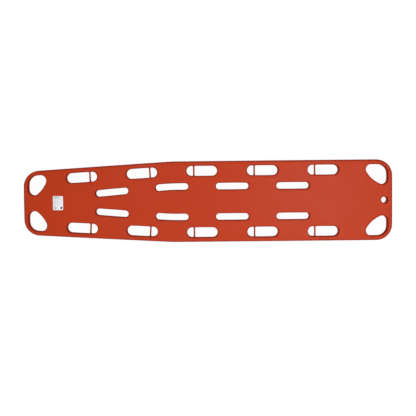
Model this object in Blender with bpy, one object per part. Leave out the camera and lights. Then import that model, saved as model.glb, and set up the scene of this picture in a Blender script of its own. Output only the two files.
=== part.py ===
"""Rescue spine board: a hollow polyethylene shell round a foam core, with ten strap pins.

Frame: metres, +Z up. X runs along the board, with the head end at +X and the foot end at -X.
The lying patient's left is +Y. The origin is on the ground under the middle of the board, so
the runners stand on z = 0 and the deck is at z = HEIGHT.
"""

from math import acos, atan2, ceil, cos, hypot, pi, radians, sin, sqrt, tan

import bmesh
import bpy
from mathutils import Vector

# Board
LENGTH = 1.830
HEAD_HALF_WIDTH = 0.2012
FOOT_HALF_WIDTH = 0.1578  # where the tapered edges, drawn straight, reach the foot end
TAPER_X = -0.177  # the edges are parallel from here to the head end
TAPER_BLEND_R = 0.700
CORNER_R = 0.080
HEIGHT = 0.050
RUNNER_HEIGHT = 0.006
WALL = 0.004
EDGE_R = 0.008  # rounding of the board's outer edges
EDGE_STEPS = 3
HOLE_CHAMFER = 0.0025  # rounding of every slot and hole, as one chamfer
GAP = 0.0003  # between pieces that touch
CHORD_ERROR = 0.0005  # the most that a straight facet may leave its arc

# Stations: slots stand at whole and half pitches from the third outer slot
MID_X = -0.0293
HEAD_PITCH = 0.3004
FOOT_PITCH = 0.2982
OUTER_STATIONS = (-2, -1, 0, 1, 2)
INNER_STATIONS = (-1.5, -0.5, 0.5, 1.5)
SIDES = (("left", 1), ("right", -1))  # name and the sign of y

# Outer slots, parallel to the board's edge
OUTER_LENGTH = 0.1513
OUTER_WIDTH = 0.0479
OUTER_INSET = 0.0484  # from the edge to the slot's centre line

# Inner slots, which converge towards the foot end
INNER_LENGTH = 0.1616
INNER_WIDTH = 0.0315
INNER_Y = 0.0759
INNER_TAPER_X = -0.189
INNER_TAPER = radians(4.89)
INNER_BLEND_R = 1.000

# Corner holes: a rounded triangle with a bulging long side. rim is the plastic left outside it,
# along and across are its two legs, and the others are the radii of its corner, tips and bulge.
FOOT_HOLE = dict(rim=0.0239, along=0.0890, across=0.0971, corner=0.0460, tip=0.0275, bulge=0.1489)
HEAD_HOLE = dict(rim=0.0247, along=0.1062, across=0.0979, corner=0.0462, tip=0.0247, bulge=0.1431)

# Hanging hole near the head end
HANG_X = 0.8745
HANG_R = 0.0151

# Strap pins
PIN_R = 0.0040
PIN_OFFSET = 0.040  # from the slot's centre, towards the middle of the board
PIN_SIDES = 10
PIN_FLANGE_R = 0.0065
PIN_FLANGE_LENGTH = 0.0025

# Stiffeners: straight rods from end wall to end wall, inside the rows of inner slots
ROD_R = 0.006
ROD_SIDES = 12
ROD_FOOT_Y = 0.0105
ROD_HEAD_Y = 0.0440

# Runners under the board, between the outer and the inner slots
RUNNER_INSET = 0.091  # from the board's edge
RUNNER_X = (-0.700, 0.700)
RUNNER_WIDTH = 0.019
RUNNER_DRAFT = 0.002

# Label in its recess
LABEL_X = -0.744
LABEL_SIZE = (0.050, 0.070)
LABEL_THICKNESS = 0.0005
LABEL_CORNER_R = 0.002
LABEL_DEPTH = 0.0003  # from the deck down to the label's face

# Ports in the underside, closed by push-in plugs
PORTS = {"fill_plug": (0.740, 0.0110), "vent_plug": (-0.744, 0.0065)}  # x and hole radius
PLUG_FLANGE = 0.0040  # how far the flange reaches past its hole
PLUG_FLANGE_THICKNESS = 0.0020
PLUG_BARB = 0.0010
PLUG_BARB_LENGTH = 0.0030
PLUG_SIDES = 20

# Derived levels
DECK_Z = HEIGHT
UNDERSIDE_Z = RUNNER_HEIGHT
PIN_Z = (DECK_Z + UNDERSIDE_Z) / 2
ROD_Z = PIN_Z
CAVITY_TOP = DECK_Z - WALL
CAVITY_BOTTOM = UNDERSIDE_Z + WALL
RECESS_DEPTH = LABEL_DEPTH + LABEL_THICKNESS + GAP

# Colour (linear), roughness and metallic value of each material
MATERIALS = {
    "shell_plastic": ((0.50, 0.060, 0.018), 0.42, 0.0),
    "pin_plastic": ((0.38, 0.036, 0.016), 0.45, 0.0),
    "foam": ((0.80, 0.70, 0.42), 0.90, 0.0),
    "glass_fibre": ((0.62, 0.60, 0.46), 0.35, 0.0),
    "label_film": ((0.82, 0.84, 0.88), 0.30, 0.0),
    "plug_plastic": ((0.02, 0.02, 0.022), 0.50, 0.0),
}


# ---- Outlines -------------------------------------------------------------------------------
# An outline is a belt: a list of circles (x, y, radius), anticlockwise, which a tight line runs
# round. It passes a circle of negative radius on its other side, which makes a hollow arc.


def corner_circle(before, corner, after, radius):
    """The circle that rounds a corner of an anticlockwise path: negative where it turns right."""
    a = (Vector(corner) - Vector(before)).normalized()
    b = (Vector(after) - Vector(corner)).normalized()
    turn = atan2(a.x * b.y - a.y * b.x, a.dot(b))
    centre = Vector(corner) + (b - a).normalized() * radius / cos(turn / 2)
    return (centre.x, centre.y, radius if turn > 0 else -radius)


def rounded_polygon(corners, radii):
    """A closed polygon with each corner rounded by its own radius."""
    before = corners[-1:] + corners[:-1]
    after = corners[1:] + corners[:1]
    return [corner_circle(*corner) for corner in zip(before, corners, after, radii)]


def band(path, width, bend_radius=0.0):
    """A band of constant width with round ends, along two points, or three with a bend."""
    half = width / 2
    points = [Vector(p) for p in path]
    start = points[0] + (points[1] - points[0]).normalized() * half
    end = points[-1] + (points[-2] - points[-1]).normalized() * half
    circles = [(*end, half), (*start, half)]
    if len(points) == 3:
        x, y, radius = corner_circle(*points, bend_radius)
        circles.insert(1, (x, y, half - radius))
        circles.append((x, y, half + radius))
    return circles


def tangent(a, b):
    """The outward direction of the straight line that leaves circle a for circle b."""
    dx, dy = b[0] - a[0], b[1] - a[1]
    return atan2(dy, dx) - acos(max(-1.0, min(1.0, (a[2] - b[2]) / hypot(dx, dy))))


def ring(outline, grow=0.0):
    """The outline's points, moved outward by grow. Every grow gives the same number of points."""
    points = []
    for i, (x, y, radius) in enumerate(outline):
        start, sweep, extra = 0.0, 2 * pi, 0
        if len(outline) > 1:
            start = tangent(outline[i - 1], outline[i])
            sweep = (tangent(outline[i], outline[(i + 1) % len(outline)]) - start) % (2 * pi)
            sweep -= 2 * pi if radius < 0 else 0.0
            extra = 1
        count = max(1, ceil(abs(sweep) / sqrt(8 * CHORD_ERROR / abs(radius))))
        for step in range(count + extra):
            angle = start + sweep * step / count
            points.append((x + (radius + grow) * cos(angle), y + (radius + grow) * sin(angle)))
    return points


def mirrored(outline):
    """The outline reflected across the board's centre line, still anticlockwise."""
    return [(x, -y, radius) for x, y, radius in reversed(outline)]


# ---- Layout ---------------------------------------------------------------------------------

TAPER = atan2(HEAD_HALF_WIDTH - FOOT_HALF_WIDTH, TAPER_X + LENGTH / 2)


def station_x(station):
    return MID_X + station * (HEAD_PITCH if station > 0 else FOOT_PITCH)


def edge_y(x):
    """Half the board's width at x, without its corner rounding."""
    return HEAD_HALF_WIDTH - max(0.0, TAPER_X - x) * tan(TAPER)


def inner_y(x):
    """The centre line of the inner slots."""
    return INNER_Y - max(0.0, INNER_TAPER_X - x) * tan(INNER_TAPER)


def board_outline():
    half = LENGTH / 2
    right = [(-half, -FOOT_HALF_WIDTH), (TAPER_X, -HEAD_HALF_WIDTH), (half, -HEAD_HALF_WIDTH)]
    left = [(x, -y) for x, y in reversed(right)]
    radii = (CORNER_R, TAPER_BLEND_R, CORNER_R)
    return rounded_polygon(right + left, radii + radii)


def outer_slot_frame(station):
    """Centre and direction of the outer slot on the left side."""
    x = station_x(station)
    angle = TAPER if station < 0 else 0.0
    return Vector((x, edge_y(x) - OUTER_INSET / cos(angle))), Vector((cos(angle), sin(angle)))


def outer_slot(station):
    centre, along = outer_slot_frame(station)
    reach = along * OUTER_LENGTH / 2
    return band((centre - reach, centre + reach), OUTER_WIDTH)


def inner_slot(station):
    middle = station_x(station)
    low, high = middle - INNER_LENGTH / 2, middle + INNER_LENGTH / 2
    path = [(low, inner_y(low)), (high, inner_y(high))]
    if low < INNER_TAPER_X < high:
        path.insert(1, (INNER_TAPER_X, INNER_Y))
    return band(path, INNER_WIDTH, INNER_BLEND_R)


def corner_hole(end, rim, along, across, corner, tip, bulge):
    """The corner hole on the left side: end is 1 at the head and -1 at the foot."""

    def place(x, y):
        """From the rim's inner corner, x runs along the board and y across it, both inward."""
        world_x = end * (LENGTH / 2 - rim - x)
        return Vector((world_x, edge_y(world_x) - rim - y))

    tips = [place(along - tip, tip), place(tip, across - tip)][::end]
    # The bulging side is an arc that touches both tips from outside them
    chord = tips[1] - tips[0]
    depth = sqrt((bulge - tip) ** 2 - (chord.length / 2) ** 2)
    outward = Vector((chord.y, -chord.x)).normalized()
    centre = (tips[0] + tips[1]) / 2 - outward * depth
    return [(*place(corner, corner), corner), (*tips[0], tip), (*centre, bulge), (*tips[1], tip)]


def through_holes():
    """The outline of every opening that goes right through the board."""
    one_side = [outer_slot(station) for station in OUTER_STATIONS]
    one_side += [inner_slot(station) for station in INNER_STATIONS]
    one_side += [corner_hole(-1, **FOOT_HOLE), corner_hole(1, **HEAD_HOLE)]
    return [[(HANG_X, 0.0, HANG_R)]] + one_side + [mirrored(outline) for outline in one_side]


def runner():
    """The runner's base on the left side."""
    low, high = RUNNER_X
    path = [(x, edge_y(x) - RUNNER_INSET) for x in (low, TAPER_X, high)]
    return band(path, RUNNER_WIDTH, TAPER_BLEND_R)


def label_outline():
    length, width = (size / 2 for size in LABEL_SIZE)
    corners = [(LABEL_X + x * length, y * width) for x, y in ((-1, -1), (1, -1), (1, 1), (-1, 1))]
    return rounded_polygon(corners, [LABEL_CORNER_R] * 4)


# ---- Mesh building --------------------------------------------------------------------------


def bridge(mesh, low, high):
    """A band of quads between two rings that both run anticlockwise. Faces point outward."""
    count = len(low)
    for i in range(count):
        j = (i + 1) % count
        mesh.faces.new((low[i], low[j], high[j], high[i]))


def stack(mesh, outline, levels, hole=False):
    """Bridges the outline's rings at (grow, z) levels, from the bottom up. Returns both ends."""
    rings = [[mesh.verts.new((x, y, z)) for x, y in ring(outline, grow)] for grow, z in levels]
    for low, high in zip(rings, rings[1:]):
        if hole:
            bridge(mesh, high, low)
        else:
            bridge(mesh, low, high)
    return rings[0], rings[-1]


def cap(mesh, rings, up):
    """Fills the flat region between rings. up is True where it faces +Z."""
    edges = []
    for points in rings:
        edges += [mesh.edges.get(pair) for pair in zip(points, points[1:] + points[:1])]
    filled = bmesh.ops.triangle_fill(mesh, edges=edges, use_beauty=True, normal=(0, 0, 1))
    for face in filled["geom"]:
        if isinstance(face, bmesh.types.BMFace):
            face.normal_update()
            if (face.normal.z > 0) != up:
                face.normal_flip()


def make_object(name, mesh, material, smooth=True):
    data = bpy.data.meshes.new(name)
    mesh.to_mesh(data)
    mesh.free()
    if smooth:
        data.shade_smooth()
        data.set_sharp_from_angle(angle=radians(40))
    obj = bpy.data.objects.new(name, data)
    bpy.context.scene.collection.objects.link(obj)
    if material:
        data.materials.append(bpy.data.materials[material])
    return obj


def rounded_wall(bottom, top, radius, steps):
    """The (grow, z) levels of an upright wall whose two edges are rounded inward."""
    turns = [pi / 2 * i / steps for i in range(steps + 1)]
    edge = [(-radius * (1 - sin(turn)), radius * (1 - cos(turn))) for turn in turns]
    return [(grow, bottom + rise) for grow, rise in edge] + [(grow, top - rise) for grow, rise in edge[::-1]]


def cut(obj, cutter):
    cutter.hide_render = True
    cutter.display_type = "WIRE"
    modifier = obj.modifiers.new(cutter.name, "BOOLEAN")
    modifier.operation = "DIFFERENCE"
    modifier.solver = "EXACT"
    modifier.object = cutter


def add_turned(mesh, origin, axis, profile, sides):
    """A closed turned body: profile is (distance along the axis, radius) pairs from origin."""
    axis = axis.normalized()
    across = axis.orthogonal().normalized()
    third = axis.cross(across)
    spokes = [across * cos(2 * pi * i / sides) + third * sin(2 * pi * i / sides) for i in range(sides)]
    rings = []
    for distance, radius in profile:
        rings.append([mesh.verts.new(origin + axis * distance + spoke * radius) for spoke in spokes])
    for low, high in zip(rings, rings[1:]):
        bridge(mesh, low, high)
    mesh.faces.new(rings[0][::-1])
    mesh.faces.new(rings[-1])


def add_cylinder(mesh, start, end, radius, sides):
    length = (end - start).length
    add_turned(mesh, start, end - start, [(0.0, radius), (length, radius)], sides)


# ---- Pieces ---------------------------------------------------------------------------------


def make_materials():
    for name, (colour, roughness, metallic) in MATERIALS.items():
        material = bpy.data.materials.new(name)
        material.use_nodes = True
        shader = material.node_tree.nodes["Principled BSDF"]
        shader.inputs["Base Color"].default_value = (*colour, 1.0)
        shader.inputs["Roughness"].default_value = roughness
        shader.inputs["Metallic"].default_value = metallic


def pin_frames():
    """Name, centre and axis (towards the board's edge) of each strap pin."""
    frames = []
    for number, station in enumerate(OUTER_STATIONS, 1):
        centre, along = outer_slot_frame(station)
        toward_middle = 1 if station < 0 else -1
        middle = centre + along * PIN_OFFSET * toward_middle
        for side, sign in SIDES:
            origin = Vector((middle.x, middle.y * sign, PIN_Z))
            axis = Vector((-along.y, along.x * sign, 0.0))
            frames.append((f"strap_pin_{side}_{number}", origin, axis))
    return frames


def pin_profile():
    """From flange to flange, behind the slot's walls."""
    inner = OUTER_WIDTH / 2 + WALL + GAP
    half = [(inner, PIN_R), (inner, PIN_FLANGE_R), (inner + PIN_FLANGE_LENGTH, PIN_FLANGE_R)]
    return [(-distance, radius) for distance, radius in reversed(half)] + half


def make_shell(holes):
    board = board_outline()
    mesh = bmesh.new()

    # Outer skin
    low, high = stack(mesh, board, rounded_wall(UNDERSIDE_Z, DECK_Z, EDGE_R, EDGE_STEPS))
    underside, deck = [low], [high]
    hole_levels = [
        (HOLE_CHAMFER, UNDERSIDE_Z),
        (0.0, UNDERSIDE_Z + HOLE_CHAMFER),
        (0.0, DECK_Z - HOLE_CHAMFER),
        (HOLE_CHAMFER, DECK_Z),
    ]
    for outline in holes:
        low, high = stack(mesh, outline, hole_levels, hole=True)
        underside.append(low)
        deck.append(high)

    # Runners stand on the ground
    for outline in (runner(), mirrored(runner())):
        foot, base = stack(mesh, outline, [(-RUNNER_DRAFT, 0.0), (0.0, UNDERSIDE_Z)])
        cap(mesh, [foot], up=False)
        underside.append(base)

    # Label recess
    recess_levels = [(GAP, DECK_Z - RECESS_DEPTH), (GAP, DECK_Z)]
    floor, rim = stack(mesh, label_outline(), recess_levels, hole=True)
    cap(mesh, [floor], up=True)
    deck.append(rim)

    # Cavity, and the ports that open it
    cavity_walls = [(-WALL, CAVITY_BOTTOM), (-WALL, CAVITY_TOP)]
    low, high = stack(mesh, board, cavity_walls, hole=True)
    cavity_floor, cavity_ceiling = [low], [high]
    for outline in holes:
        low, high = stack(mesh, outline, [(WALL, CAVITY_BOTTOM), (WALL, CAVITY_TOP)])
        cavity_floor.append(low)
        cavity_ceiling.append(high)
    for x, radius in PORTS.values():
        port_levels = [(0.0, UNDERSIDE_Z), (0.0, CAVITY_BOTTOM)]
        low, high = stack(mesh, [(x, 0.0, radius)], port_levels, hole=True)
        underside.append(low)
        cavity_floor.append(high)

    cap(mesh, underside, up=False)
    cap(mesh, deck, up=True)
    cap(mesh, cavity_floor, up=True)
    cap(mesh, cavity_ceiling, up=False)
    shell = make_object("board_shell", mesh, "shell_plastic")

    # Each pin passes through both walls of its slot
    cutter = bmesh.new()
    for _, origin, axis in pin_frames():
        reach = axis * (OUTER_WIDTH / 2 + 2 * WALL)
        add_cylinder(cutter, origin - reach, origin + reach, PIN_R + GAP, PIN_SIDES)
    cut(shell, make_object("pin_bores", cutter, None))


def make_foam(holes):
    board = board_outline()
    inset = WALL + GAP
    levels = [CAVITY_BOTTOM + GAP, CAVITY_TOP - GAP]
    mesh = bmesh.new()
    low, high = stack(mesh, board, [(-inset, z) for z in levels])
    bottom, top = [low], [high]
    for outline in holes:
        low, high = stack(mesh, outline, [(inset, z) for z in levels], hole=True)
        bottom.append(low)
        top.append(high)
    cap(mesh, bottom, up=False)
    cap(mesh, top, up=True)
    foam = make_object("foam_core", mesh, "foam")

    cutter = bmesh.new()
    # Pin ends: pockets that open on the slot's tunnel
    depth = WALL + PIN_FLANGE_LENGTH + 2 * GAP
    for _, origin, axis in pin_frames():
        for outward in (axis, -axis):
            mouth = origin + outward * OUTER_WIDTH / 2
            add_cylinder(cutter, mouth, mouth + outward * depth, PIN_FLANGE_R + GAP, PIN_SIDES)
    # Rods: bores from end to end
    for side in (1, -1):
        add_cylinder(cutter, *rod_ends(side, EDGE_R), ROD_R + GAP, ROD_SIDES)
    # Plug ends
    depth = WALL + PLUG_BARB_LENGTH + 2 * GAP
    for x, radius in PORTS.values():
        mouth = Vector((x, 0.0, UNDERSIDE_Z))
        add_cylinder(cutter, mouth, mouth + Vector((0, 0, depth)), radius + PLUG_BARB + GAP, PLUG_SIDES)
    cut(foam, make_object("core_bores", cutter, None))


def rod_ends(side, past_end):
    """The two ends of a rod that reaches past the board's ends: side is 1 on the left."""
    foot = Vector((-LENGTH / 2, side * ROD_FOOT_Y, ROD_Z))
    head = Vector((LENGTH / 2, side * ROD_HEAD_Y, ROD_Z))
    extra = (head - foot).normalized() * past_end
    return foot - extra, head + extra


def make_stiffeners():
    for side, sign in SIDES:
        foot, head = rod_ends(sign, -WALL - GAP)
        mesh = bmesh.new()
        add_cylinder(mesh, Vector(), head - foot, ROD_R, ROD_SIDES)
        make_object(f"stiffener_{side}", mesh, "glass_fibre").location = foot


def make_pins():
    for name, origin, axis in pin_frames():
        mesh = bmesh.new()
        add_turned(mesh, Vector(), axis, pin_profile(), PIN_SIDES)
        make_object(name, mesh, "pin_plastic").location = origin


def make_label():
    mesh = bmesh.new()
    top = DECK_Z - LABEL_DEPTH
    low, high = stack(mesh, label_outline(), [(0.0, top - LABEL_THICKNESS), (0.0, top)])
    cap(mesh, [low], up=False)
    cap(mesh, [high], up=True)
    make_object("id_label", mesh, "label_film", smooth=False)


def make_plugs():
    """Each plug has a flange under the board, a stem in its port and a barb inside the shell."""
    bevel = PLUG_FLANGE_THICKNESS / 2
    levels = [
        (PLUG_FLANGE - bevel, -GAP - PLUG_FLANGE_THICKNESS),
        (PLUG_FLANGE, -GAP - bevel),
        (PLUG_FLANGE, -GAP),
        (-GAP, -GAP),
        (-GAP, WALL + GAP),
        (PLUG_BARB, WALL + GAP),
        (-PLUG_BARB, WALL + GAP + PLUG_BARB_LENGTH),
    ]
    for name, (x, radius) in PORTS.items():
        mesh = bmesh.new()
        low, high = stack(mesh, [(0.0, 0.0, radius)], levels)
        cap(mesh, [low], up=False)
        cap(mesh, [high], up=True)
        make_object(name, mesh, "plug_plastic").location = (x, 0.0, UNDERSIDE_Z)


def main():
    for obj in list(bpy.data.objects):
        bpy.data.objects.remove(obj, do_unlink=True)
    make_materials()
    holes = through_holes()
    make_shell(holes)
    make_foam(holes)
    make_stiffeners()
    make_pins()
    make_label()
    make_plugs()


main()
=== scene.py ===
"""Looks of the spine board: a fine shell, pins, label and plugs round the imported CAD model.

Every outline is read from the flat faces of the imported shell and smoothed, so the sizes stay
those of the CAD model. Metres, in the CAD model's frame: +X is the head end and +Z is up.
"""

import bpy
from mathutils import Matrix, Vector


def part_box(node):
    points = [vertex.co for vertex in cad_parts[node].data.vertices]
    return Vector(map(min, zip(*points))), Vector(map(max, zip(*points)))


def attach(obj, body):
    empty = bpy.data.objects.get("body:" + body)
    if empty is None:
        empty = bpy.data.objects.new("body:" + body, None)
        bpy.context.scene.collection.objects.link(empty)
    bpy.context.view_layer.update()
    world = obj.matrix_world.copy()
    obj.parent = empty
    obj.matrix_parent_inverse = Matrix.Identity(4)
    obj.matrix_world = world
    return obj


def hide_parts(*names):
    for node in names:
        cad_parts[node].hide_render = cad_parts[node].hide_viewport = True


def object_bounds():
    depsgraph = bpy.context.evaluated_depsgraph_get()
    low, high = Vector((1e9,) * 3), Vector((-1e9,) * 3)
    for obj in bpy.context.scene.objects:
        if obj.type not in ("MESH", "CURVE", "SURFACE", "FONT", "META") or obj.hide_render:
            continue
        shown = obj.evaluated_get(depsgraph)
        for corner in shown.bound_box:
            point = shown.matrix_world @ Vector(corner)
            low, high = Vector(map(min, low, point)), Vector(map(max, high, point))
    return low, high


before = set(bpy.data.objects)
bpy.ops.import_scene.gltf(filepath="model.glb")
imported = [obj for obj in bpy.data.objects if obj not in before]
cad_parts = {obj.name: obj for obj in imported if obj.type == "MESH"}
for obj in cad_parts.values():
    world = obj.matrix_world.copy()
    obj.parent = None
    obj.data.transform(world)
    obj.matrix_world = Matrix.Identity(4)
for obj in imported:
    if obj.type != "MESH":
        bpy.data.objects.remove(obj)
CAD_BOX = [list(corner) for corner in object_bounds()]

from math import ceil, cos, pi, radians, sin

import bpy
import numpy as np
from mathutils import Matrix, Vector, kdtree, noise
from mathutils.geometry import delaunay_2d_cdt

# Levels and thicknesses of the CAD model
DECK_Z = CAD_BOX[1][2]
UNDERSIDE_Z = 0.006
MIDDLE_Z = (DECK_Z + UNDERSIDE_Z) / 2
WALL = 0.004
GAP = 0.0003  # kept between pieces that would touch

# Edges of the CAD shell, and the rounder ones of the fine shell
CAD_EDGE = 0.008
CAD_CHAMFER = 0.0025
EDGE_R = 0.010
HOLE_R = 0.007
RUNNER_R = 0.002
ROUNDING_STEPS = 6
DRAFT = 0.0004  # the tunnels and the outer wall narrow by this much from the middle to an edge
SEAM_WIDTH = 0.0010
SEAM_HEIGHT = 0.00025
SEAM_MARGIN = 0.0006

# Reading the CAD outlines
LEVEL_ERROR = 0.00001
TINY_EDGE = 0.0005  # a shorter edge is left out, with one of its points
SAME_PLACE = 0.001  # outlines whose centres are this close belong to the same hole
RUNNER_LENGTH = 0.5  # on the underside, a longer outline is a runner's
PORT_LENGTH = 0.1  # and a shorter one than this is a port's

# Mesh density
STRAIGHT_TURN = radians(1.5)  # an edge along which the outline turns less is straight
STRAIGHT_STEP = 0.010
ARC_STEPS = 4
GRID_STEP = 0.010
GRID_MARGIN = 0.55  # distance of the grid from the outlines, in grid steps
SHARP_ANGLE = radians(50)
CONVEX_HULL = 0  # what the triangulation fills
MERGE_DISTANCE = 1e-8

# Waviness of the deck: a hollow moulding is never quite flat
WAVE_DEPTH = 0.00022
WAVE_LENGTH = 0.110

# Pins
PIN_R = 0.0040
PIN_FLARE = 0.0016  # how much wider the pin is where it meets the wall
PIN_FLARE_LENGTH = 0.0060
PIN_FLARE_STEPS = 8
PIN_FLANGE_R = 0.0065
PIN_FLANGE_LENGTH = 0.0025
PIN_SIDES = 32
PIN_BORE_GAP = 0.00005

# Label
LABEL_EDGE = 0.00015
LABEL_LINE = 0.0026  # from one printed line to the next
LABEL_WORD = 0.0022
LABEL_LINE_SHIFT = 7.3  # how far apart in the noise two lines are, so that their words differ

# Plugs, from the bottom of the flange up
PLUG_FLANGE = 0.0040  # how far the flange reaches past the port
PLUG_DISH = 0.0009  # depth of the dish in the flange
PLUG_DISH_SHARE = (0.55, 0.62)  # the dish's floor and rim, as shares of the flange's radius
PLUG_RIM_R = 0.0008
PLUG_BARB = 0.0010  # how much wider than the port the barb starts, and narrower it ends
PLUG_SIDES = 48

# Camera: over the board's left side, looking a little towards its right side
CAMERA_PLACE = (0.0093, 0.1217)
CAMERA_HEIGHT = 3.5  # above the deck
CAMERA_TILT = radians(-2.512)
CAMERA_LEAN = radians(0.131)
CAMERA_TURN = radians(-0.596)
CAMERA_LENS = 61.17


# ---- Outlines -------------------------------------------------------------------------------


def flat_loops(obj, z):
    """The edge loops of a CAD node's flat faces at height z, anticlockwise, the longest first."""
    edges = set()
    for face in obj.data.polygons:
        corners = [obj.data.vertices[i].co for i in face.vertices]
        if all(abs(corner.z - z) < LEVEL_ERROR for corner in corners):
            points = [(round(corner.x, 6), round(corner.y, 6)) for corner in corners]
            edges.update(zip(points, points[1:] + points[:1]))
    follows = {a: b for a, b in edges if (b, a) not in edges}
    loops = []
    while follows:
        first, point = follows.popitem()
        loop = [first]
        while point != first:
            loop.append(point)
            point = follows.pop(point)
        loop = np.array(loop)
        loop = loop[np.linalg.norm(np.roll(loop, -1, axis=0) - loop, axis=1) > TINY_EDGE]
        loops.append(loop if area(loop) > 0 else loop[::-1])
    return sorted(loops, key=lambda loop: -np.ptp(loop, axis=0).max())


def area(loop):
    """The area inside the loop, above 0 where it runs anticlockwise."""
    after = np.roll(loop, -1, axis=0)
    return (loop[:, 0] * after[:, 1] - after[:, 0] * loop[:, 1]).sum() / 2


def centre(loop):
    return (loop.min(axis=0) + loop.max(axis=0)) / 2


def unit(vectors):
    return vectors / np.linalg.norm(vectors, axis=1, keepdims=True)


def smoothed(loop):
    """The loop with its facets turned back into arcs, and with points along its straight runs."""
    # The loop starts at its lowest x, so that every run gives the same order
    loop = np.roll(loop, -int(np.lexsort((loop[:, 1], loop[:, 0]))[0]), axis=0)
    after = np.roll(loop, -1, axis=0)
    tangent = unit(after - np.roll(loop, 1, axis=0))
    points = []
    for start, end, leaving, arriving in zip(loop, after, tangent, np.roll(tangent, -1, axis=0)):
        length = np.linalg.norm(end - start)
        straight = leaving @ arriving > cos(STRAIGHT_TURN)
        count = max(ceil(length / STRAIGHT_STEP), 1 if straight else ARC_STEPS)
        for t in np.arange(count) / count:
            towards_end = t * t * (3 - 2 * t)
            point = start + (end - start) * towards_end
            point = point + length * (t * (1 - t) ** 2 * leaving - t * t * (1 - t) * arriving)
            points.append(point)
    return np.array(points)


def grown(loop, distance):
    """The loop moved outward by distance."""
    along = unit(np.roll(loop, -1, axis=0) - np.roll(loop, 1, axis=0))
    return loop + distance * np.stack([along[:, 1], -along[:, 0]], axis=1)


def fitted(outline):
    """The board's outline squeezed into the CAD box, which its smoothed sides bow out of."""
    low, high = np.array(CAD_BOX)[:, :2]
    return low + (outline - outline.min(axis=0)) * (high - low) / np.ptp(outline, axis=0)


def inside(points, loops):
    """Which points lie inside an odd number of loops."""
    odd = np.zeros(len(points), bool)
    x, y = points[:, :1], points[:, 1:]
    for loop in loops:
        after = np.roll(loop, -1, axis=0)
        crosses = (loop[:, 1] > y) != (after[:, 1] > y)
        rise = np.where(after[:, 1] == loop[:, 1], 1.0, after[:, 1] - loop[:, 1])
        at = loop[:, 0] + (y - loop[:, 1]) / rise * (after[:, 0] - loop[:, 0])
        odd ^= (crosses & (x < at)).sum(axis=1) % 2 == 1
    return odd


# ---- Meshes ---------------------------------------------------------------------------------


class Surface:
    """A closed surface made of walls that follow outlines and of flat caps between them."""

    def __init__(self):
        self.points = []
        self.faces = []

    def ring(self, loop, z):
        start = len(self.points)
        self.points += [(x, y, z) for x, y in loop]
        return list(range(start, len(self.points)))

    def wall(self, loop, levels, hole=False):
        """Bands between the loop's rings at (grow, z) levels, from the bottom up."""
        rings = [self.ring(grown(loop, grow), z) for grow, z in levels]
        for low, high in zip(rings, rings[1:]):
            if hole:
                low, high = high, low
            for i in range(len(low)):
                self.faces.append((low[i - 1], low[i], high[i], high[i - 1]))
        return rings[0], rings[-1]

    def cap(self, rings, up, step=None):
        """Fills the flat region between rings, with a grid of points inside it every step."""
        z = self.points[rings[0][0]][2]
        loops = [np.array([self.points[i][:2] for i in ring]) for ring in rings]
        edges = []
        for ring in rings:
            start = len(edges)
            edges += [(start + i, start + (i + 1) % len(ring)) for i in range(len(ring))]
        known = [i for ring in rings for i in ring]
        coordinates = np.concatenate(loops + ([self.grid(loops, step)] if step else []))
        points, _, triangles, sources, _, _ = delaunay_2d_cdt(
            [Vector(point) for point in coordinates], edges, [], CONVEX_HULL, MERGE_DISTANCE
        )
        index = []
        for point, source in zip(points, sources):
            if source and source[0] < len(known):
                index.append(known[source[0]])
            else:
                index.append(len(self.points))
                self.points.append((point.x, point.y, z))
        flat = np.array([tuple(point) for point in points])
        corners = flat[np.array(triangles)]
        kept = inside(corners.mean(axis=1), loops)
        for triangle, corner, keep in zip(triangles, corners, kept):
            if keep:
                anticlockwise = area(corner) > 0
                face = tuple(index[i] for i in triangle)
                self.faces.append(face if anticlockwise == up else face[::-1])

    @staticmethod
    def grid(loops, step):
        """Points of a triangular grid inside the loops, clear of their edges."""
        low, high = loops[0].min(axis=0), loops[0].max(axis=0)
        rows = np.arange(low[1], high[1], step * sin(pi / 3))
        points = [
            (x + step / 2 * (row % 2), y)
            for row, y in enumerate(rows)
            for x in np.arange(low[0], high[0], step)
        ]
        edge_points = np.concatenate(loops)
        tree = kdtree.KDTree(len(edge_points))
        for i, (x, y) in enumerate(edge_points):
            tree.insert((x, y, 0.0), i)
        tree.balance()
        margin = GRID_MARGIN * step
        points = np.array([p for p in points if tree.find((*p, 0.0))[2] > margin])
        return points[inside(points, loops)]

    def make(self, name):
        return smooth_object(name, self.points, self.faces)


def new_object(name, points, faces):
    mesh = bpy.data.meshes.new(name)
    mesh.from_pydata(points, [], faces)
    mesh.update()
    return linked(name, mesh)


def linked(name, data):
    obj = bpy.data.objects.new(name, data)
    bpy.context.scene.collection.objects.link(obj)
    return obj


def smooth_object(name, points, faces):
    obj = new_object(name, points, faces)
    obj.data.shade_smooth()
    obj.data.set_sharp_from_angle(angle=SHARP_ANGLE)
    return obj


def quarter(radius):
    """(inset, drop) pairs of a rounded edge, from the flat face to the wall."""
    turns = [pi / 2 * i / ROUNDING_STEPS for i in range(ROUNDING_STEPS + 1)]
    return [(radius * (1 - sin(turn)), radius * (1 - cos(turn))) for turn in turns]


def moulded_wall(radius, outward):
    """Levels of an upright wall with rounded edges, draft, and a seam at mid-depth.

    outward is 1 where a bigger loop is more plastic, and -1 round a hole.
    """
    below = []
    for inset, drop in quarter(radius):
        below.append((-outward * (inset + DRAFT + SEAM_HEIGHT), UNDERSIDE_Z + drop))
    # A ring close under the seam keeps its soft shading off the rest of the wall
    below.append((-outward * SEAM_HEIGHT, MIDDLE_Z - SEAM_WIDTH - SEAM_MARGIN))
    for share in (1.0, 0.75, 0.5, 0.25):
        rise = (1 + cos(pi * share)) / 2
        below.append((-outward * SEAM_HEIGHT * (1 - rise), MIDDLE_Z - SEAM_WIDTH * share))
    above = [(grow, DECK_Z + UNDERSIDE_Z - z) for grow, z in reversed(below)]
    return below + [(0.0, MIDDLE_Z)] + above


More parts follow.
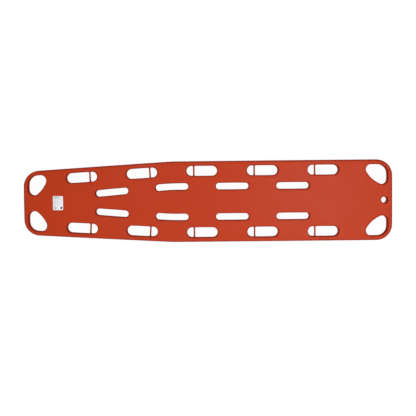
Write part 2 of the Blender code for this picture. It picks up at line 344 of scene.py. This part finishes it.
def turned(axis_to_world, profile, sides):
    """Points and faces of a closed turned body: profile is (radius, z) pairs, bottom first."""
    points, faces = [], []
    for radius, z in profile:
        turns = [2 * pi * i / sides for i in range(sides)]
        points += [axis_to_world @ Vector((radius * cos(t), radius * sin(t), z)) for t in turns]
    for level in range(len(profile) - 1):
        low, high = level * sides, (level + 1) * sides
        for i in range(sides):
            j = (i + 1) % sides
            faces.append((low + i, low + j, high + j, high + i))
    faces.append(tuple(range(sides))[::-1])
    faces.append(tuple(range(len(points) - sides, len(points))))
    return points, faces


# ---- Shader nodes ---------------------------------------------------------------------------


class Nodes:
    """A material's node tree, with one short call for each node."""

    def __init__(self, name):
        self.material = bpy.data.materials.new(name)
        self.material.use_nodes = True
        self.tree = self.material.node_tree
        self.tree.nodes.clear()
        self.output = self.add("ShaderNodeOutputMaterial")
        self.place = self.add("ShaderNodeTexCoord").outputs["Object"]

    def add(self, kind, settings=None, **inputs):
        node = self.tree.nodes.new(kind)
        for name, value in (settings or {}).items():
            setattr(node, name, value)
        for name, value in inputs.items():
            self.put(node.inputs[name.replace("_", " ")], value)
        return node

    def put(self, socket, value):
        if isinstance(value, bpy.types.NodeSocket):
            self.tree.links.new(value, socket)
        else:
            socket.default_value = value

    def noise(self, size, detail=2.0, stretch=(1, 1, 1)):
        """Noise from 0 to 1 whose blotches are about size metres."""
        scaled = self.add("ShaderNodeMapping", Vector=self.place, Scale=stretch).outputs[0]
        node = self.add("ShaderNodeTexNoise", Vector=scaled, Scale=1 / size, Detail=detail)
        return node.outputs[0]

    def span(self, value, low, high, to_low=0.0, to_high=1.0):
        """value from low..high moved to to_low..to_high, and held there."""
        node = self.add("ShaderNodeMapRange", Value=value)
        for i, number in enumerate((low, high, to_low, to_high), 1):
            node.inputs[i].default_value = number
        return node.outputs[0]

    def math(self, operation, a, b=0.0):
        node = self.add("ShaderNodeMath", {"operation": operation})
        for socket, value in zip(node.inputs, (a, b)):
            self.put(socket, value)
        return node.outputs[0]

    def mix(self, factor, a, b):
        node = self.add("ShaderNodeMix", {"data_type": "RGBA"})
        for socket, value in zip((node.inputs[0], node.inputs[6], node.inputs[7]), (factor, a, b)):
            self.put(socket, value)
        return node.outputs[2]

    def bump(self, height, depth, normal=None):
        """A bump whose height, from 0 to 1, stands for depth metres."""
        node = self.add("ShaderNodeBump", Height=height, Strength=1.0, Distance=depth)
        if normal:
            self.put(node.inputs["Normal"], normal)
        return node.outputs[0]

    def principled(self, **inputs):
        shader = self.add("ShaderNodeBsdfPrincipled", **inputs)
        self.put(self.output.inputs[0], shader.outputs[0])
        return self.material


def rgb(red, green, blue):
    return (red, green, blue, 1.0)


def grey(value):
    return rgb(value, value, value)


# Painted shade for walls and rounded edges, then two painted-sheen colours for flat faces, mottled
# between them
SHELL_COLOURS = (rgb(0.37, 0.018, 0.0015), rgb(0.53, 0.044, 0.009), rgb(0.55, 0.047, 0.011))
PIN_COLOURS = (rgb(0.45, 0.028, 0.003), rgb(0.49, 0.036, 0.006), rgb(0.51, 0.040, 0.008))


def polyethylene(name, painted_shade_colour, painted_sheen_low, painted_sheen_high):
    """Rotomoulded polyethylene: mottled colour, orange-peel surface, fine pits and faint scuffs.

    Faces that point up or down get paler colours as painted sheen and light, and walls and rounded
    edges a darker colour as painted shade.
    """
    n = Nodes(name)
    mottle = n.span(n.noise(0.090, detail=3), 0.30, 0.70)
    speckle = n.span(n.noise(0.0016, detail=1), 0.35, 0.65)
    tint = n.math("ADD", n.math("MULTIPLY", mottle, 0.5), n.math("MULTIPLY", speckle, 0.5))
    normal = n.add("ShaderNodeNewGeometry").outputs["Normal"]
    facing = n.add("ShaderNodeSeparateXYZ", Vector=normal)
    # Painted light: flat faces take the pale painted-sheen colours, walls and rounded edges the
    # dark painted shade
    painted_light_mask = n.span(n.math("ABSOLUTE", facing.outputs["Z"]), 0.84, 0.995)
    scuffs = n.span(n.noise(0.0022, detail=2, stretch=(0.03, 1, 1)), 0.62, 0.74)
    polish = n.span(n.noise(0.040, detail=2), 0.3, 0.7, 0.34, 0.42)
    peel = n.bump(n.noise(0.0035, detail=2), 0.00006)
    pits = n.bump(n.noise(0.0007, detail=1), 0.00002, normal=peel)
    return n.principled(
        Base_Color=n.mix(painted_light_mask, painted_shade_colour, n.mix(tint, painted_sheen_low, painted_sheen_high)),
        Roughness=n.math("ADD", polish, n.math("MULTIPLY", scuffs, 0.06)),
        Specular_IOR_Level=0.15,
        Normal=pits,
    )


def label_film():
    """White film with generic print: broken lines, a grey mark and a dark square."""
    n = Nodes("label_print")
    low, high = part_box("id_label")
    length, width = high.x - low.x, high.y - low.y
    parts = n.add("ShaderNodeSeparateXYZ", Vector=n.place)
    across = n.math("SUBTRACT", parts.outputs[0], low.x)
    down = n.math("SUBTRACT", high.y, parts.outputs[1])

    def between(value, start, end):
        over = n.math("GREATER_THAN", value, start)
        return n.math("MULTIPLY", over, n.math("LESS_THAN", value, end))

    def block(x0, x1, y0, y1):
        """1 in a rectangle, given as shares of the label's length and width."""
        in_length = between(across, x0 * length, x1 * length)
        return n.math("MULTIPLY", in_length, between(down, y0 * width, y1 * width))

    line = n.math("DIVIDE", down, LABEL_LINE)
    seed = n.add(
        "ShaderNodeCombineXYZ",
        X=n.math("DIVIDE", across, LABEL_WORD),
        Y=n.math("MULTIPLY", n.math("FLOOR", line), LABEL_LINE_SHIFT),
    )
    words = n.add("ShaderNodeTexNoise", Vector=seed.outputs[0], Scale=1.0, Detail=1.0)
    written = n.math("GREATER_THAN", words.outputs[0], 0.46)
    ink = n.math("MULTIPLY", written, between(n.math("FRACT", line), 0.35, 0.62))
    colour = rgb(0.95, 0.955, 0.98)
    for shape, print_colour in (
        (n.math("MULTIPLY", ink, block(0.10, 0.90, 0.14, 0.70)), rgb(0.56, 0.59, 0.68)),
        (block(0.10, 0.62, 0.07, 0.10), rgb(0.25, 0.28, 0.36)),
        (block(0.16, 0.34, 0.79, 0.93), rgb(0.45, 0.47, 0.50)),
        (block(0.74, 0.92, 0.76, 0.92), rgb(0.035, 0.045, 0.060)),
    ):
        colour = n.mix(shape, colour, print_colour)
    return n.principled(
        Base_Color=colour,
        Roughness=n.span(n.noise(0.01), 0.3, 0.7, 0.26, 0.36),
        Normal=n.bump(n.noise(0.0008), 0.00001),
    )


def black_plastic():
    n = Nodes("plug_plastic")
    colour = n.mix(n.noise(0.004, detail=3), grey(0.012), grey(0.022))
    grain = n.bump(n.noise(0.0006, detail=2), 0.00003)
    roughness = n.span(n.noise(0.003), 0.3, 0.7, 0.45, 0.6)
    return n.principled(Base_Color=colour, Roughness=roughness, Normal=grain)


def cellular_foam():
    n = Nodes("polyurethane_foam")
    cells = n.add("ShaderNodeTexVoronoi", Vector=n.place, Scale=900.0).outputs[0]
    colour = n.mix(n.noise(0.02), rgb(0.62, 0.50, 0.25), rgb(0.74, 0.63, 0.36))
    roughness = n.span(cells, 0.0, 1.0, 0.85, 0.95)
    return n.principled(Base_Color=colour, Roughness=roughness, Normal=n.bump(cells, 0.0003))


def pultruded_rod():
    n = Nodes("glass_fibre_rod")
    fibres = n.noise(0.0005, detail=2, stretch=(0.02, 1, 1))
    colour = n.mix(fibres, rgb(0.50, 0.47, 0.30), rgb(0.70, 0.68, 0.52))
    roughness = n.span(fibres, 0.3, 0.7, 0.3, 0.45)
    return n.principled(Base_Color=colour, Roughness=roughness, Normal=n.bump(fibres, 0.00003))


def floor_paint():
    """A white floor that glows like a light table and doesn't show in the plastic's gloss."""
    n = Nodes("floor_white")
    gloss = n.add("ShaderNodeLightPath").outputs["Is Glossy Ray"]
    paint = n.add("ShaderNodeBsdfDiffuse", Color=grey(FLOOR_ALBEDO))
    strength = n.span(gloss, 0.0, 1.0, FLOOR_GLOW, 0.0)
    glow = n.add("ShaderNodeEmission", Color=grey(1.0), Strength=strength)
    both = n.add("ShaderNodeAddShader")
    n.put(both.inputs[0], paint.outputs[0])
    n.put(both.inputs[1], glow.outputs[0])
    n.put(n.output.inputs[0], both.outputs[0])
    return n.material


# ---- Pieces ---------------------------------------------------------------------------------


def pin_nodes():
    return sorted(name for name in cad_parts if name.startswith("strap_pin"))


def pin_axis(node):
    """A pin's middle, its direction across the slot and its length, from its CAD solid."""
    points = np.array([vertex.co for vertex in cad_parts[node].data.vertices])
    middle = (points.min(axis=0) + points.max(axis=0)) / 2
    direction = np.linalg.svd(points - points.mean(axis=0))[2][0]
    reach = (points - middle) @ direction
    return Vector(middle), Vector(direction), np.ptp(reach)


def turned_frame(middle, direction):
    """The frame with its origin at middle and its Z axis along direction."""
    return Matrix.Translation(middle) @ direction.to_track_quat("Z", "Y").to_matrix().to_4x4()


def shell_outlines():
    """The board's outline, its holes, the label's recess, the runners and the ports."""
    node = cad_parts["board_shell"]
    low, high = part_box("id_label")
    deck_board, *deck_holes = [smoothed(loop) for loop in flat_loops(node, DECK_Z)]
    _, *under_loops = [smoothed(loop) for loop in flat_loops(node, UNDERSIDE_Z)]

    def is_at(loop, point):
        return np.linalg.norm(centre(loop) - point) < SAME_PLACE

    board = fitted(grown(deck_board, CAD_EDGE))
    recess = next(loop for loop in deck_holes if is_at(loop, ((low + high) / 2).xy))
    holes = [grown(loop, -CAD_CHAMFER) for loop in deck_holes if loop is not recess]
    others = [loop for loop in under_loops if not any(is_at(loop, centre(hole)) for hole in holes)]
    runners = [loop for loop in others if np.ptp(loop[:, 0]) > RUNNER_LENGTH]
    ports = [loop for loop in others if np.ptp(loop[:, 0]) < PORT_LENGTH]
    return board, holes, recess, runners, ports


def make_shell(material):
    """The hollow moulding: an outer skin, an inner one, and the pins' bores through both."""
    board, holes, recess, runners, ports = shell_outlines()
    shell = Surface()
    low, high = shell.wall(board, moulded_wall(EDGE_R, 1))
    underside, deck = [low], [high]
    for hole in holes:
        low, high = shell.wall(hole, moulded_wall(HOLE_R, -1), hole=True)
        underside.append(low)
        deck.append(high)
    for runner in runners:
        edge = quarter(RUNNER_R)
        levels = [(-inset - RUNNER_R, drop) for inset, drop in edge]
        levels += [(-RUNNER_R + inset, UNDERSIDE_Z - drop) for inset, drop in edge[::-1]]
        foot, base = shell.wall(runner, levels)
        shell.cap([foot], up=False, step=GRID_STEP)
        underside.append(base)
    recess_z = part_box("id_label")[0].z - GAP
    floor, rim = shell.wall(recess, [(0.0, recess_z), (0.0, DECK_Z)], hole=True)
    shell.cap([floor], up=True)
    deck.append(rim)

    cavity_bottom, cavity_top = UNDERSIDE_Z + WALL, DECK_Z - WALL
    low, high = shell.wall(board, [(-WALL, cavity_bottom), (-WALL, cavity_top)], hole=True)
    cavity_floor, cavity_ceiling = [low], [high]
    for hole in holes:
        low, high = shell.wall(hole, [(WALL, cavity_bottom), (WALL, cavity_top)])
        cavity_floor.append(low)
        cavity_ceiling.append(high)
    for port in ports:
        low, high = shell.wall(port, [(0.0, UNDERSIDE_Z), (0.0, cavity_bottom)], hole=True)
        underside.append(low)
        cavity_floor.append(high)
    shell.cap(underside, up=False, step=GRID_STEP)
    shell.cap(deck, up=True, step=GRID_STEP)
    shell.cap(cavity_floor, up=True)
    shell.cap(cavity_ceiling, up=False)
    shell.points = [waved(point) for point in shell.points]

    piece = shell.make("shell_moulding")
    bore_for_pins(piece)
    install(piece, material, "board_shell")


def waved(point):
    """A point of the skin, sunk a little where it lies on the deck."""
    x, y, z = point
    depth = WAVE_DEPTH * (0.5 + 0.5 * noise.noise(Vector((x, y, z)) / WAVE_LENGTH))
    on_deck = min(1.0, max(0.0, (z - DECK_Z + EDGE_R) / EDGE_R))
    return (x, y, z - depth * on_deck)


def bore_for_pins(piece):
    """Cuts the bores in which the pins sit through both walls of their slots."""
    points, faces = [], []
    for node in pin_nodes():
        middle, direction, length = pin_axis(node)
        reach = length / 2 + WALL / 2
        profile = [(PIN_R + PIN_BORE_GAP, z) for z in (-reach, reach)]
        bore_points, bore_faces = turned(turned_frame(middle, direction), profile, PIN_SIDES)
        start = len(points)
        points += bore_points
        faces += [tuple(start + i for i in face) for face in bore_faces]
    cutter = new_object("pin_bores", points, faces)
    modifier = piece.modifiers.new("bores", "BOOLEAN")
    modifier.solver = "EXACT"
    modifier.object = cutter
    graph = bpy.context.evaluated_depsgraph_get()
    mesh = bpy.data.meshes.new_from_object(piece.evaluated_get(graph))
    piece.modifiers.clear()
    piece.data = mesh
    bpy.data.objects.remove(cutter)


def install(piece, material, node):
    """Gives a piece its material and its place on the rigid board, and hides the CAD node it
    stands in for.
    """
    piece.data.materials.clear()
    piece.data.materials.append(material)
    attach(piece, "root")
    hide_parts(node)


def make_pins(material):
    """Each pin flares where it meets the slot's wall, and keeps its flange behind the wall."""
    for node in pin_nodes():
        middle, direction, length = pin_axis(node)
        end = length / 2
        flange = end - PIN_FLANGE_LENGTH
        wall = flange - WALL - GAP - DRAFT
        half = [(PIN_R, 0.0)]
        for i in range(PIN_FLARE_STEPS + 1):
            to_wall = 1 - i / PIN_FLARE_STEPS
            flare = PIN_FLARE * (1 - sin(pi / 2 * to_wall))
            half.append((PIN_R + flare, wall - PIN_FLARE_LENGTH * to_wall))
        half += [(PIN_R, wall), (PIN_R, flange), (PIN_FLANGE_R, flange), (PIN_FLANGE_R, end)]
        profile = [(radius, -z) for radius, z in reversed(half[1:])] + half
        body = turned(turned_frame(middle, direction), profile, PIN_SIDES)
        piece = smooth_object(node.replace("strap_pin", "moulded_pin"), *body)
        install(piece, material, node)


def make_label(material):
    """A thin film with rounded corners and a soft edge."""
    low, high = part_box("id_label")
    outline = smoothed(flat_loops(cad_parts["id_label"], round(high.z, 6))[0])
    film = Surface()
    levels = [(0.0, low.z), (0.0, high.z - LABEL_EDGE), (-LABEL_EDGE, high.z)]
    bottom, top = film.wall(outline, levels)
    film.cap([bottom], up=False)
    film.cap([top], up=True)
    install(film.make("printed_label"), material, "id_label")


def make_plugs(material):
    """Round push-in plugs: a dished flange under the port, a neck through it and a barb above."""
    for node in ("fill_plug", "vent_plug"):
        low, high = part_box(node)
        middle = (low + high) / 2
        flange_r = (high.y - low.y) / 2
        port_r = flange_r - PLUG_FLANGE
        neck_r = port_r - GAP
        flange_top = UNDERSIDE_Z - GAP
        barb_start = UNDERSIDE_Z + WALL + GAP
        dish_r, dish_rim_r = [share * flange_r for share in PLUG_DISH_SHARE]
        profile = [(dish_r, low.z + PLUG_DISH), (dish_rim_r, low.z)]
        profile += [(flange_r - inset, low.z + drop) for inset, drop in quarter(PLUG_RIM_R)]
        profile += [(flange_r, flange_top), (neck_r, flange_top), (neck_r, barb_start)]
        profile += [(port_r + PLUG_BARB, barb_start), (port_r - PLUG_BARB, high.z)]
        body = turned(Matrix.Translation((middle.x, middle.y, 0.0)), profile, PLUG_SIDES)
        install(smooth_object(f"{node}_cap", *body), material, node)


# ---- Studio ---------------------------------------------------------------------------------

# Large far softboxes all round, and small near ones over the board: place, size and power.
# All of them face the board's middle.
SOFTBOXES = {
    "softbox_far_head": ((5.2, 0.0, 3.0), (4.5, 2.2), 76),
    "softbox_far_foot": ((-5.2, 0.0, 3.0), (4.5, 2.2), 65),
    "softbox_far_left": ((0.0, 5.2, 3.0), (4.5, 2.2), 133),
    "softbox_far_right": ((0.0, -5.2, 3.0), (4.5, 2.2), 182),
    "softbox_near_right": ((0.8, -1.6, 2.5), (1.0, 1.0), 11),
    "softbox_top_head": ((0.9, 0.0, 2.6), (1.0, 1.0), 16),
    "softbox_top_foot": ((-0.6, 0.0, 2.6), (1.0, 1.0), 5),
}
FLOOR_ALBEDO = 0.06
FLOOR_GLOW = 0.96
FLOOR_REACH = 40.0
FLOOR_Z = -0.0005
ROOM_LIGHT = 0.02
BACKDROP = 0.95  # the room as the camera sees it


def make_floor():
    reach = FLOOR_REACH
    corners = [(-reach, -reach), (reach, -reach), (reach, reach), (-reach, reach)]
    floor = new_object("floor", [(x, y, FLOOR_Z) for x, y in corners], [(0, 1, 2, 3)])
    floor.data.materials.append(floor_paint())


def make_softboxes():
    for name, (place, size, power) in SOFTBOXES.items():
        light = bpy.data.lights.new(name, "AREA")
        light.shape = "RECTANGLE"
        light.size, light.size_y = size
        light.energy = power
        obj = linked(name, light)
        obj.location = place
        obj.rotation_euler = (-Vector(place)).to_track_quat("-Z", "Y").to_euler()


def make_room():
    """A dim room that the camera sees as a bright backdrop."""
    world = bpy.data.worlds.new("studio")
    world.use_nodes = True
    tree = world.node_tree
    seen = tree.nodes.new("ShaderNodeLightPath").outputs["Is Camera Ray"]
    strength = tree.nodes.new("ShaderNodeMapRange")
    strength.inputs["To Min"].default_value = ROOM_LIGHT
    strength.inputs["To Max"].default_value = BACKDROP
    tree.links.new(seen, strength.inputs["Value"])
    tree.links.new(strength.outputs[0], tree.nodes["Background"].inputs["Strength"])
    tree.nodes["Background"].inputs["Color"].default_value = grey(1.0)
    bpy.context.scene.world = world


def make_camera():
    camera = bpy.data.cameras.new("camera")
    camera.lens = CAMERA_LENS
    camera.clip_end = 50.0
    obj = linked("camera", camera)
    obj.location = (*CAMERA_PLACE, DECK_Z + CAMERA_HEIGHT)
    obj.rotation_euler = (CAMERA_TILT, CAMERA_LEAN, CAMERA_TURN)
    bpy.context.scene.camera = obj


# ---- The scene ------------------------------------------------------------------------------

bpy.context.scene.view_settings.view_transform = "Standard"
make_floor()
make_softboxes()
make_room()
make_camera()
make_shell(polyethylene("shell_polyethylene", *SHELL_COLOURS))
make_pins(polyethylene("pin_polyethylene", *PIN_COLOURS))
make_label(label_film())
make_plugs(black_plastic())
for name, material in (
    ("foam_core", cellular_foam()),
    ("stiffener_left", pultruded_rod()),
    ("stiffener_right", pultruded_rod()),
):
    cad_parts[name].data.materials[0] = material
